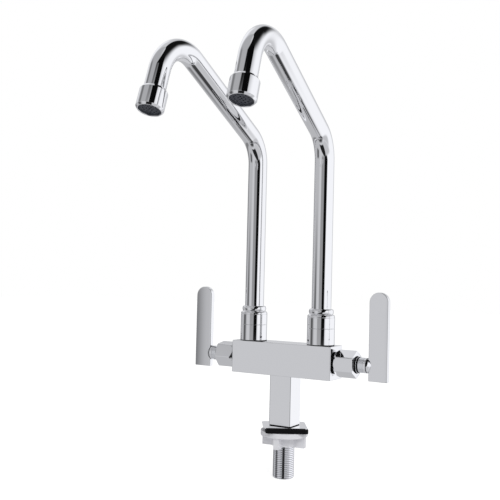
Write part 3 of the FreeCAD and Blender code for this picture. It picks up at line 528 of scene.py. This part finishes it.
PLASTIC = moulded("white_plastic", light=(0.88, 0.88, 0.92), dark=(0.82, 0.82, 0.86),
                  dull=0.35, spread=0.2, grain=1200.0, depth=0.00002)
CERAMIC = moulded("white_ceramic", light=(0.90, 0.90, 0.89), dark=(0.82, 0.82, 0.81),
                  dull=0.15, spread=0.1, grain=1800.0, depth=0.000005)
SLATE = moulded("slate_plastic", light=(0.055, 0.06, 0.078), dark=(0.038, 0.042, 0.055),
                dull=0.4, spread=0.2, grain=1500.0, depth=0.00002)

NODE_MATERIALS = {
    "tap_body": CHROME, "threaded_shank": SHANK_SHADED_CHROME, "base_plate": CHROME,
    "rubber_washer": RUBBER, "back_nut": PLASTIC, "bonnet": CHROME, "bonnet_gasket": RUBBER,
    "dust_ring": RUBBER, "seat_seal": RUBBER, "spindle_seal": RUBBER, "cartridge_cage": BRASS,
    "fixed_disc": CERAMIC, "moving_disc": CERAMIC, "spindle": BRASS, "lever_sleeve": SATIN,
    "lever": CHROME, "lever_screw": STEEL, "spout_socket": CHROME, "ring_nut": CHROME,
    "spout_foot": BRASS, "spout_oring": RUBBER, "slip_ring": PLASTIC,
    "cover_ring": SPOUT_CHROME, "spout_tube": SPOUT_CHROME, "aerator_shell": SPOUT_CHROME,
    "spout_nozzle": BRASS, "aerator_washer": RUBBER, "aerator_insert": SLATE,
    "aerator_mesh": SLATE,
}


def dress_nodes():
    for node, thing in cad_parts.items():
        kind = node.replace("left_", "").replace("right_", "")
        thing.data.materials.clear()
        thing.data.materials.append(NODE_MATERIALS[kind])


# The spout: tube, collar and outlet.

SPOUT_FOOT = 7.6
SPOUT_RISE = 178.4
BEND_RADIUS = 32.0
BEND_ANGLE = 63.6
SLOPE_LENGTH = 112.6
CROWN_RADIUS = 34.5
OUTLET_TILT = 18.0
OUTLET_RUN = 17.0
NOZZLE_END = 9.0


def spout_points():
    """Centres of the bends, directions and the outlet corner in the spout's own plane."""
    lean = math.radians(BEND_ANGLE)
    tilt = math.radians(OUTLET_TILT)
    low_centre = Vector((BEND_RADIUS, 0, SPOUT_RISE))
    slope_start = low_centre + Vector((-math.cos(lean), 0, math.sin(lean))) * BEND_RADIUS
    slope = Vector((math.sin(lean), 0, math.cos(lean)))
    slope_end = slope_start + slope * SLOPE_LENGTH
    crown_centre = slope_end + Vector((math.cos(lean), 0, -math.sin(lean))) * CROWN_RADIUS
    crown_end = crown_centre + Vector((math.cos(tilt), 0, math.sin(tilt))) * CROWN_RADIUS
    down = Vector((math.sin(tilt), 0, -math.cos(tilt)))
    corner = crown_end + down * OUTLET_RUN
    return low_centre, slope, crown_centre, down, corner


def on_outlet(side):
    """Local Z runs out of the spout from the end of the straight outlet run."""
    corner = spout_points()[-1]
    return on_spout(side) @ shift(*corner) @ turn(180.0 - OUTLET_TILT, "Y")


def make_tube(side):
    """Extrude a ring up, spin it through the two bends and on to the outlet."""
    low_centre, slope, crown_centre, down, _ = spout_points()
    tube = circle(side + "_spout_tube_piece", TUBE_RADIUS, SPOUT_FOOT)
    edit_all(tube)

    def run(line):
        bpy.ops.mesh.extrude_region_move(TRANSFORM_OT_translate={"value": line * MM})

    def bend(centre, angle, steps):
        bpy.ops.mesh.spin(steps=steps, angle=math.radians(angle), center=centre * MM,
                          axis=(0, -1, 0))

    run(Vector((0, 0, SPOUT_RISE - SPOUT_FOOT)))
    bend(low_centre, BEND_ANGLE, 36)
    run(slope * SLOPE_LENGTH)
    bend(crown_centre, 180.0 - OUTLET_TILT - BEND_ANGLE, 54)
    run(down * (OUTLET_RUN + NOZZLE_END))
    leave_edit()
    tidy_mesh(tube)
    apply_modifier(tube, "SOLIDIFY", thickness=TUBE_WALL * MM, offset=-1.0)
    smooth(tube)
    settle(tube, on_spout(side))
    finish_piece(tube, side + "_spout_assembly", "spout_chrome", SPOUT_CHROME,
                 side + "_spout_tube")


def make_collar(side):
    """Socket with a thin black ring under its foot, ring nut with a round shoulder, and cover
    ring.
    """
    place = on_spout(side)
    foot, nut_bore, cover_bore = 12.9, TUBE_RADIUS + 0.1, TUBE_RADIUS + 0.03
    ring_piece(side + "_spout_socket_piece", [
        (5.25, -5.9), (SCREWED_RADIUS, -5.9), (SCREWED_RADIUS, 0.0), (foot, 0.0), (foot, 0.55),
        (COLLAR_RADIUS, 0.75), (COLLAR_RADIUS, 16.1), (11.3, 16.1), (11.3, 10.0), (10.5, 10.0),
        (10.5, 2.0), (5.25, 2.0)],
        place, "tap", "body_chrome", CHROME, side + "_spout_socket", edge=0.2)
    ring_piece(side + "_socket_foot_seal", [
        (foot, 0.0), (13.3, 0.05), (13.3, 0.6), (foot, 0.65)],
        place, "tap", "seal_rubber", RUBBER)
    ring_piece(side + "_ring_nut_piece", [
        (nut_bore, 10.85), (11.2, 10.85), (11.2, 16.35), (COLLAR_RADIUS, 16.35),
        (COLLAR_RADIUS, 26.35), (13.15, 26.5), (13.15, 26.75),
        *arc_rings((12.2, 26.75), (1.3, 2.5), 8.0, 90.0, 12), (nut_bore, 29.25)],
        place, "tap", "body_chrome", CHROME, side + "_ring_nut", edge=0.2)
    ring_piece(side + "_cover_ring_piece", [
        (cover_bore, 29.55), (11.5, 29.55),
        *arc_rings((10.6, 32.1), (1.5, 2.7), -68.0, 74.0, 16),
        (10.6, 34.85), (cover_bore, 34.85)],
        place, side + "_spout_assembly", "spout_chrome", SPOUT_CHROME, side + "_cover_ring")


def make_outlet(side):
    """Cup with a coned shoulder above, a stepped bore and a drawn-in lip below."""
    collar_bore, cup, top, lip = TUBE_RADIUS + 0.2, 12.15, 2.7, 22.2
    shell = turned(side + "_aerator_shell_piece", [
        (collar_bore, top), (10.6, top), (cup, 4.9), (cup, 20.5), (10.7, lip), (10.1, lip),
        (9.8, 21.9), (9.8, 20.9), (10.25, 20.9), (10.25, 11.95), (10.9, 11.95), (10.9, 4.0),
        (collar_bore, 4.0)])
    ease_edges(shell, 0.2, angle=20.0)
    smooth(shell)
    settle(shell, on_outlet(side))
    finish_piece(shell, side + "_spout_assembly", "spout_chrome", SPOUT_CHROME,
                 side + "_aerator_shell")


# The valves: bonnet, gasket, dust ring, sleeve and lever.

def make_bonnet(side):
    """Hexagon with coned corners at both ends, on a screwed neck."""
    half_flats, cone_foot, cone_start, corner_radius = 11.6, 1.7, 4.7, 13.42
    hexagon = rod("hexagon", half_flats / math.cos(math.pi / 6), -20.0, 40.0, 6)
    round_corners(hexagon, "Z", 0.9, 6)
    settle(hexagon, turn(30.0, "Z"))
    bonnet = turned(side + "_bonnet_piece", [
        (4.1, -7.5), (SCREWED_RADIUS, -7.5), (SCREWED_RADIUS, cone_foot), (11.4, cone_foot),
        (corner_radius, cone_start), (corner_radius, 20.7), (12.9, 21.2), (9.5, 21.6),
        (8.2, 21.6), (8.2, 20.0), (4.1, 20.0)], 192)
    combine(bonnet, hexagon, "INTERSECT")
    ease_edges(bonnet, 0.15, segments=2, angle=18.0)
    smooth(bonnet, 25.0)
    settle(bonnet, on_valve(side, HEX_TURNS[side]))
    finish_piece(bonnet, "tap", "body_chrome", CHROME, side + "_bonnet")


def make_gasket(side):
    ring_piece(side + "_bonnet_gasket_piece", [
        (8.7, 0.05), (10.3, 0.05), (10.5, 0.25), (10.5, 1.4), (10.3, 1.6), (8.7, 1.6)],
        on_valve(side), "tap", "seal_rubber", RUBBER, side + "_bonnet_gasket", angle=30.0)


def make_dust_ring(side):
    """Two soft black lips with a narrow steel spring between them."""
    bore, seat, nose = 5.5, 20.0, 24.2
    ring_piece(side + "_dust_ring_piece", [
        (bore, seat), (8.15, seat), (8.15, 21.9), (7.9, 22.3), (7.3, 22.4), (7.3, 23.2),
        (7.6, 23.3), (7.6, 24.0), (7.3, nose), (bore, nose)],
        on_valve(side), "tap", "seal_rubber", RUBBER, side + "_dust_ring",
        segments=192, angle=30.0)
    ring_piece(side + "_dust_ring_spring", [
        (7.2, 22.42), (7.6, 22.5), (7.75, 22.8), (7.6, 23.1), (7.2, 23.18)],
        on_valve(side), "tap", "screw_steel", SATIN, segments=192, angle=60.0)


def make_sleeve(side):
    start, end = 24.5, 29.6
    ring_piece(side + "_lever_sleeve_piece", [
        (SPINDLE_BORE, start), (BOSS_RADIUS, start), (BOSS_RADIUS, end), (SPINDLE_BORE, end)],
        on_valve(side), side + "_lever_assembly", "sleeve_chrome", SATIN,
        side + "_lever_sleeve", edge=0.25)


def make_boss():
    """Round boss with a seam groove and a shallow dome, bored for the spindle."""
    ball = (BOSS_RADIUS ** 2 + DOME_HEIGHT ** 2) / (2 * DOME_HEIGHT)
    lean = math.degrees(math.asin(BOSS_RADIUS / ball))
    tip = BOSS_LENGTH + DOME_HEIGHT
    dome = arc_rings((0.0, tip - ball), (ball, ball), 90.0 - lean, 90.0, 16)[:-1]
    boss = turned("boss", [
        (SPINDLE_BORE, 5.35), (SPINDLE_BORE, 0.0), (BOSS_RADIUS, 0.0), (BOSS_RADIUS, 2.55),
        (6.6, 2.6), (6.6, 3.45), *dome, (0.02, tip)], closed=False)
    edit_all(boss)
    bpy.ops.mesh.region_to_loop()
    bpy.ops.mesh.edge_face_add()
    leave_edit()
    tidy_mesh(boss)
    return settle(boss, shift(BOSS_START, 0, 0) @ turn(90.0, "Y"))


def make_lever(side):
    """Upright blade with a half-round top, joined to its boss, and a black ring as painted shade
    in the seam.
    """
    body = side + "_lever_assembly"
    width = BLADE_OUTER - BLADE_INNER
    blade = block(side + "_lever_piece", (width, BLADE_DEPTH, BLADE_TOP - BLADE_FOOT),
                  ((BLADE_INNER + BLADE_OUTER) / 2, 0.0, (BLADE_FOOT + BLADE_TOP) / 2))
    round_corners(blade, "Y", width / 2 - 0.0001, 32, above=0.0)
    ease_edges(blade, 0.5, segments=4)
    combine(blade, make_boss(), "UNION")
    tidy_mesh(blade)
    smooth(blade, 35.0)
    settle(blade, shift(0, 0, VALVE_HEIGHT) @ turn(90.0 - 90.0 * WAYS[side], "Z"))
    finish_piece(blade, body, "lever_chrome", LEVER_CHROME, side + "_lever")
    # Painted shade: a black ring fills the boss's groove, standing in for the shade down in it.
    bore, rim, start, end = 6.5, 7.08, 32.2, 33.05
    ring_piece(side + "_lever_seam_ring", [(bore, start), (rim, start), (rim, end), (bore, end)],
               on_valve(side), body, "seal_rubber", RUBBER, angle=30.0)


# Body and base pieces.

def make_body():
    """Bar and column in one casting, bored for the water, the valves and the spouts."""
    body = block("tap_body_piece", (2 * BAR_END, BAR_DEPTH, BAR_TOP - COLUMN_HEIGHT),
                 (0, 0, (BAR_TOP + COLUMN_HEIGHT) / 2))
    ease_edges(body, 0.6, segments=4)
    column = block("column", (COLUMN_WIDTH, COLUMN_DEPTH, VALVE_HEIGHT - FOOT_SEAM),
                   (0, 0, (VALVE_HEIGHT + FOOT_SEAM) / 2))
    round_corners(column, "Z", 1.0, 6)
    ease_edges(column, 0.3)
    combine(body, column, "UNION")
    inlet, gallery, gallery_reach, chamber, port = 5.5, 4.5, 33.5, 8.5, 5.0
    spigot_depth, chamber_depth, port_depth, socket_depth = 12.3, 26.0, 16.0, 6.0
    drill(body, inlet, -PAST, VALVE_HEIGHT)
    drill(body, SPIGOT_HOLE, -PAST, spigot_depth)
    drill(body, gallery, -gallery_reach, gallery_reach,
          shift(0, 0, VALVE_HEIGHT) @ turn(90.0, "Y"))
    for side in WAYS:
        drill(body, chamber, -chamber_depth, PAST, on_valve(side))
        drill(body, port, -port_depth, PAST, on_spout(side))
        drill(body, chamber, -socket_depth, PAST, on_spout(side))
    tidy_mesh(body)
    smooth(body, 30.0)
    finish_piece(body, "tap", "body_chrome", CHROME, "tap_body")


def make_foot_painted_shade():
    """Painted shade: a thin black piece in the seam under the column, standing in for its
    shadow.
    """
    inset = 0.9
    seal = block("column_foot_seal", (COLUMN_WIDTH - inset, COLUMN_DEPTH - inset, FOOT_SEAM),
                 (0, 0, FOOT_SEAM / 2))
    round_corners(seal, "Z", 0.8, 4)
    drill(seal, SPIGOT_HOLE, -PAST, PAST)
    smooth(seal)
    finish_piece(seal, "tap", "seal_rubber", RUBBER)


def make_back_nut():
    """Round flange, hub and four wings."""
    bore, top, flange, flange_foot, hub, hub_foot = 10.5775, -5.0, 23.25, -9.8, 12.5, -19.5
    nut = turned("back_nut_piece", [
        (bore, top), (flange, top), (flange, flange_foot), (hub, flange_foot), (hub, hub_foot),
        (bore, hub_foot)])
    inner, outer, width, wing_top, wing_foot = 11.0, 22.0, 5.5, -9.6, -20.5
    for k in range(4):
        wing = block("wing", (outer - inner, width, wing_top - wing_foot),
                     ((inner + outer) / 2, 0.0, (wing_top + wing_foot) / 2))
        combine(nut, settle(wing, turn(90.0 * k, "Z")), "UNION")
    tidy_mesh(nut)
    ease_edges(nut, 0.45, angle=35.0)
    smooth(nut)
    settle(nut, turn(NUT_TURN, "Z"))
    finish_piece(nut, "tap", "nut_plastic", PLASTIC, "back_nut")


def make_plate(node, slot_name, material, size, corner, edge, top, bore, offset):
    """Base plate or rubber washer, with rounded corners and a hole for the shank."""
    thickness = size[2]
    plate = block(node + "_piece", size, (0, 0, top - thickness / 2))
    round_corners(plate, "Z", corner, 10)
    drill(plate, bore, top - thickness - PAST, top + PAST)
    ease_edges(plate, edge)
    smooth(plate, 35.0)
    settle(plate, turn(PLATE_TURN, "Z") @ shift(offset, 0, 0))
    finish_piece(plate, "tap", slot_name, material, node)


def thread_depth(angle, height):
    """Depth of the cut below the crests at a point of the shank."""
    phase = (height / THREAD_PITCH - angle / 360.0) % 1.0
    return THREAD_DEPTH * max(0.0, 1.0 - abs(phase - 0.5) / THREAD_FLANK)


def make_shank():
    """A fine tube whose points are drawn in along the helix, then bored and closed."""
    bore, spigot, top, chamfer, hair = 6.5, 9.0, 12.0, 1.0, 0.01
    rows_per_pitch = 10.0
    count = int(round(-SHANK_FOOT / (THREAD_PITCH / rows_per_pitch)))
    rise = (0, 0, -SHANK_FOOT / count * MM)
    shank = circle("threaded_shank_piece", THREAD_CREST, SHANK_FOOT)
    edit_all(shank)
    bpy.ops.mesh.extrude_region_move(TRANSFORM_OT_translate={"value": rise})
    leave_edit()
    apply_modifier(
        shank, "ARRAY", count=count, use_relative_offset=False, use_constant_offset=True,
        constant_offset_displace=rise, use_merge_vertices=True, merge_threshold=0.00001)
    for point in shank.data.vertices:
        spot = point.co / MM
        angle = math.degrees(math.atan2(spot.y, spot.x))
        radius = min(THREAD_CREST - thread_depth(angle, spot.z),
                     THREAD_CREST - chamfer + (spot.z - SHANK_FOOT))
        if spot.z > -hair:
            radius = THREAD_CREST
        if spot.z < SHANK_FOOT + hair:
            radius = THREAD_CREST - chamfer
        ratio = radius / math.hypot(spot.x, spot.y)
        point.co.x *= ratio
        point.co.y *= ratio
    select_edges(shank, lambda a, b: max(a.z, b.z) < (SHANK_FOOT + hair) * MM)
    extrude_rings([
        (THREAD_CREST - chamfer, SHANK_FOOT), (bore, SHANK_FOOT), (bore, top), (spigot, top),
        (spigot, 0.0), (THREAD_CREST, 0.0)])
    leave_edge_edit()
    tidy_mesh(shank)
    smooth(shank, 25.0)
    finish_piece(shank, "tap", "shank_chrome", SHANK_SHADED_CHROME, "threaded_shank")


dress_nodes()
for side in WAYS:
    make_tube(side)
    make_collar(side)
    make_outlet(side)
    make_bonnet(side)
    make_gasket(side)
    make_dust_ring(side)
    make_sleeve(side)
    make_lever(side)
make_body()
make_foot_painted_shade()
make_back_nut()
make_shank()
make_plate("base_plate", "plate_chrome", CHROME, size=(43.0, 36.0, 1.0), corner=3.0,
           edge=0.15, top=0.0, bore=10.7775, offset=0.0)
make_plate("rubber_washer", "washer_rubber", RUBBER, size=(41.4, 41.4, 4.0), corner=3.0,
           edge=0.4, top=-1.0, bore=12.0, offset=1.4)


# Camera, floor and light. Camera places are in metres.

CAMERA_SPOT = Vector((0.3637, -0.6811, 0.1465))
CAMERA_AIM = Vector((-0.0445, 0.0, 0.17246))
CAMERA_ROLL = math.radians(1.42)
FOCUS_PIXELS = 775.84
PHOTO_PIXELS = 500.0
SENSOR_WIDTH = 36.0


def make_camera():
    ahead = (CAMERA_AIM - CAMERA_SPOT).normalized()
    right = ahead.cross(Vector((0, 0, 1))).normalized()
    up = right.cross(ahead)
    across = right * math.cos(CAMERA_ROLL) + up * math.sin(CAMERA_ROLL)
    upward = up * math.cos(CAMERA_ROLL) - right * math.sin(CAMERA_ROLL)
    data = bpy.data.cameras.new("camera")
    data.lens = FOCUS_PIXELS / PHOTO_PIXELS * SENSOR_WIDTH
    data.sensor_width = SENSOR_WIDTH
    data.clip_start = 0.01
    data.clip_end = 50.0
    camera = bpy.data.objects.new("camera", data)
    bpy.context.scene.collection.objects.link(camera)
    turned_view = Matrix((across, upward, -ahead)).transposed().to_4x4()
    camera.matrix_world = Matrix.Translation(CAMERA_SPOT) @ turned_view
    bpy.context.scene.camera = camera


# Panels of the studio that the metal reflects, in painting order over an even wall. Bearings
# are in degrees to the right of STUDIO_BEARING, which is close to the camera's own, heights in
# degrees above the horizon, and a lean moves an edge by that many degrees for each degree of
# height. The columns after the name are those of PANEL_COLUMNS.
STUDIO_BEARING = 30.84
STUDIO_WALL = 0.60
STUDIO_TINT = (0.985, 0.995, 1.03)
SOFT_LIGHT = 0.55
PANEL_COLUMNS = ("Light", "Left", "Left Lean", "Right", "Right Lean", "Low", "High", "Side Blur",
                 "End Blur")
STUDIO_PANELS = (
    ("left_wall", 0.50, -190, 0, -65, 0, -80, 22, 2, 8),
    ("left_card", 0.10, -100, 0, -75, 0, -30, 2, 8, 5),
    ("upper_wall", 0.42, -122, 0, -10, 0, 26, 100, 12, 8),
    ("back_post", 0.22, -152, 0, -126, 0, -55, 20, 6, 8),
    ("far_glow", 0.92, -168, 0, -128, 0, 20, 56, 8, 10),
    ("far_post", 0.18, -112, 0, -88, 0, 24, 40, 6, 6),
    ("mid_wall", 0.30, -38, 0, 0, 0, -8, 20, 4, 8),
    ("window_frame", 0.03, 34, 0, 162, 0, 26, 100, 8, 6),
    ("window", 0.98, 28, 0, 170, 0, -64, 38, 9, 14),
    ("window_low", 0.56, -6, 0, 60, 0, -64, -8, 10, 6),
    ("window_side", 0.56, 60, 0, 96, 0, -64, -22, 8, 8),
    ("window_end", 0.62, 134, 0, 190, 0, -90, 30, 12, 8),
    ("window_corner", 0.008, 112, 0, 152, 0, 38, 62, 7, 12),
    ("dark_ceiling", 0.006, 30, 0, 150, 0, 52, 100, 8, 6),
    ("high_flag", 0.004, -123, 1.9, 40, 0, 45, 100, 5, 4),
    ("upper_flag", 0.003, -5, 0, 25, 0.55, -8, 54, 2.5, 4),
    ("lower_flag", 0.015, -4, 1.1, 10, 0.1, -60, -6, 3, 4),
    ("ground", 0.05, -190, 0, 66, 0, -100, -74, 6, 8),
    ("ground_right", 0.05, 66, 0, 190, 0, -100, -66, 6, 5),
)


def build_panel_group():
    """One soft-edged panel of light laid over what is under it."""
    labels = ("Under", "Bearing", "Height", *PANEL_COLUMNS)
    group, start, end = new_group("studio_panel", {label: 0.0 for label in labels}, ("Light",))
    given = start.outputs

    def ramp(value, edge, blur, outer, inner):
        low = calculate(group, "SUBTRACT", given[edge], given[blur])
        high = calculate(group, "ADD", given[edge], given[blur])
        return add_range(group, value, low, high, outer, inner, "SMOOTHSTEP")

    def bearing_from(edge):
        leaned = calculate(group, "MULTIPLY", given["Height"], given[edge + " Lean"])
        return calculate(group, "SUBTRACT", given["Bearing"], leaned)

    mask = ramp(bearing_from("Left"), "Left", "Side Blur", 0.0, 1.0)
    for part in (ramp(bearing_from("Right"), "Right", "Side Blur", 1.0, 0.0),
                 ramp(given["Height"], "Low", "End Blur", 0.0, 1.0),
                 ramp(given["Height"], "High", "End Blur", 1.0, 0.0)):
        mask = calculate(group, "MULTIPLY", mask, part)
    change = calculate(group, "SUBTRACT", given["Light"], given["Under"])
    laid = calculate(group, "ADD", given["Under"], calculate(group, "MULTIPLY", change, mask))
    feed(group, laid, end.inputs["Light"])
    return group


def studio_light(tree):
    """Brightness of the studio in the direction of a ray."""
    axes = split_axes(tree, add_node(tree, "ShaderNodeTexCoord").outputs["Generated"])
    toward = calculate(tree, "MULTIPLY", axes["Y"], -1.0)
    bearing = calculate(tree, "DEGREES", calculate(tree, "ARCTAN2", axes["X"], toward))
    offset = calculate(tree, "SUBTRACT", bearing, STUDIO_BEARING)
    wrapped = calculate(tree, "WRAP", offset, 180.0, -180.0)
    height = calculate(tree, "DEGREES", calculate(tree, "ARCSINE", axes["Z"]))
    panel = build_panel_group()
    light = STUDIO_WALL
    for name, *values in STUDIO_PANELS:
        node = place_group(tree, panel, dict(zip(PANEL_COLUMNS, values)))
        node.label = name
        for label, source in (("Bearing", wrapped), ("Height", height), ("Under", light)):
            feed(tree, source, node.inputs[label])
        light = node.outputs["Light"]
    return light


def add_background(tree, strength):
    node = add_node(tree, "ShaderNodeBackground")
    node.inputs["Color"].default_value = (1, 1, 1, 1)
    node.inputs["Strength"].default_value = strength
    return node


def make_world():
    """White to the camera, a studio of panels to the metal, an even grey to the rest."""
    world = bpy.data.worlds.new("studio")
    bpy.context.scene.world = world
    world.use_nodes = True
    tree = world.node_tree
    tree.nodes.clear()
    glossy = add_background(tree, 1.0)
    feed(tree, scale_colour(tree, STUDIO_TINT, studio_light(tree)), glossy.inputs["Color"])
    path = add_node(tree, "ShaderNodeLightPath").outputs
    lit = mix_shaders(tree, path["Is Glossy Ray"], add_background(tree, SOFT_LIGHT).outputs[0],
                      glossy.outputs[0])
    seen = mix_shaders(tree, path["Is Camera Ray"], lit, add_background(tree, 1.0).outputs[0])
    feed(tree, seen, add_node(tree, "ShaderNodeOutputWorld").inputs["Surface"])


def make_floor():
    """Pale floor that glows to the camera and to the metal, just under the shank."""
    clear_selection()
    bpy.ops.mesh.primitive_plane_add(size=8, location=(0, 0, (SHANK_FOOT - 0.5) * MM))
    floor = named("floor")
    material, tree, shader = new_material("pale_floor")
    tree.nodes.remove(shader)
    out = [node for node in tree.nodes if node.type == "OUTPUT_MATERIAL"][0]
    speck = add_noise(tree, object_place(tree), scale=40.0, detail=4.0, roughness=0.6)
    paper = add_node(tree, "ShaderNodeBsdfDiffuse")
    feed(tree, mix_tones(tree, speck, (0.78, 0.78, 0.78), (0.82, 0.82, 0.82)),
         paper.inputs["Color"])
    glow = add_node(tree, "ShaderNodeEmission")
    feed(tree, 0.6, glow.inputs["Strength"])
    both = add_node(tree, "ShaderNodeAddShader")
    feed(tree, paper.outputs[0], both.inputs[0])
    feed(tree, glow.outputs[0], both.inputs[1])
    path = add_node(tree, "ShaderNodeLightPath").outputs
    seen = calculate(tree, "MAXIMUM", path["Is Camera Ray"], path["Is Glossy Ray"])
    feed(tree, mix_shaders(tree, seen, paper.outputs[0], both.outputs[0]), out.inputs["Surface"])
    floor.data.materials.append(material)
    floor.visible_glossy = False


def make_lamp(name, spot, aim, size, power):
    data = bpy.data.lights.new(name, "AREA")
    data.size = size
    data.energy = power
    lamp = bpy.data.objects.new(name, data)
    bpy.context.scene.collection.objects.link(lamp)
    lamp.location = spot
    lamp.rotation_euler = (Vector(aim) - Vector(spot)).to_track_quat("-Z", "Y").to_euler()
    lamp.visible_glossy = False


make_camera()
make_world()
make_floor()
make_lamp("key_lamp", spot=(1.2, -0.9, 1.3), aim=(0, 0, 0.1), size=0.9, power=14.0)
bpy.context.scene.view_settings.view_transform = "Standard"
